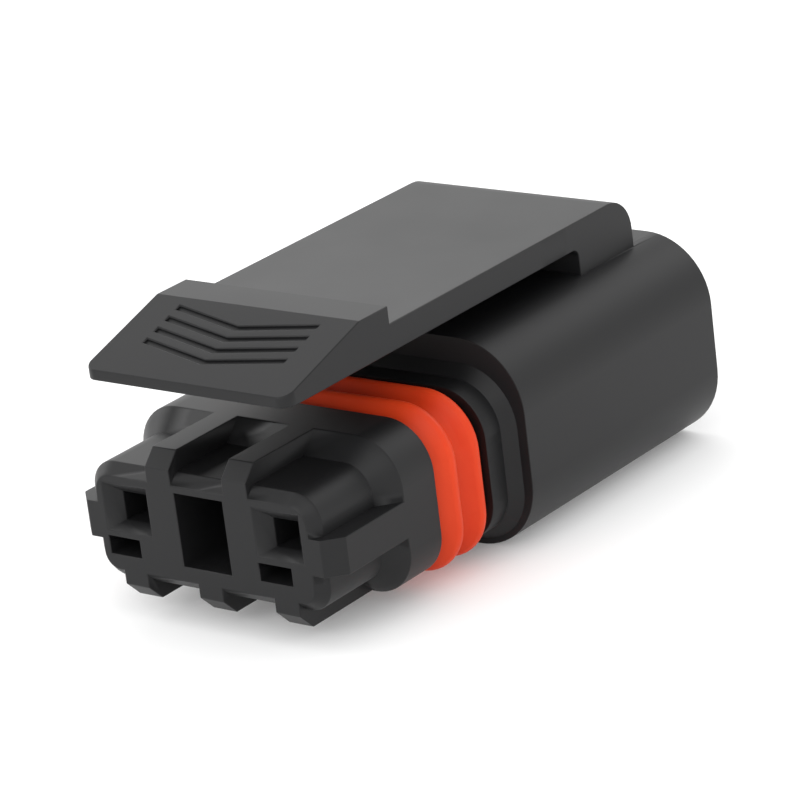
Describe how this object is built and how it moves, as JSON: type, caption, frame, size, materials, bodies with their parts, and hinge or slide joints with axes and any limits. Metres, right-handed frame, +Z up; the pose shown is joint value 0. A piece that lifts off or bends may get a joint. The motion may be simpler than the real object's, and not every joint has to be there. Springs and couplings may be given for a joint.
{
  "type": "sealed automotive connector",
  "caption": "Sealed wire-to-wire plug housing with a ribbed ring seal, keyed nose, front retainer, press latch, rear wire seal and cover, and crimp contacts.",
  "frame": {"origin": "centre of the bounding box on the plane of the shell's underside", "axes": "+Y from the mating face towards the wire end, +Z up through the latch, +X to the right as seen when looking at the mating face"},
  "size_m": [0.0158, 0.0262, 0.0125],
  "materials": {
    "housing_plastic": "black glass-filled plastic, fine satin texture",
    "seal_rubber": "orange-red silicone rubber, slightly glossy",
    "tinned_copper_alloy": "tin-plated copper alloy strip",
    "spring_steel": "bright stainless spring strip"
  },
  "bodies": {
    "plug": {"housing": "housing_plastic", "front_retainer": "housing_plastic", "ring_seal": "seal_rubber", "wire_seal": "seal_rubber", "rear_cover": "housing_plastic", "contact_left": "tinned_copper_alloy", "contact_right": "tinned_copper_alloy", "contact_spring_left": "spring_steel", "contact_spring_right": "spring_steel"},
    "latch": {"latch_lever": "housing_plastic"}
  },
  "joints": [
    {"name": "latch_flex", "type": "hinge", "parent": "plug", "child": "latch", "pos_m": [0, 0.0067, 0.01049], "axis": [1, 0, 0], "range_deg": [0, 6], "stiffness_Nm_per_rad": 4}
  ]
}
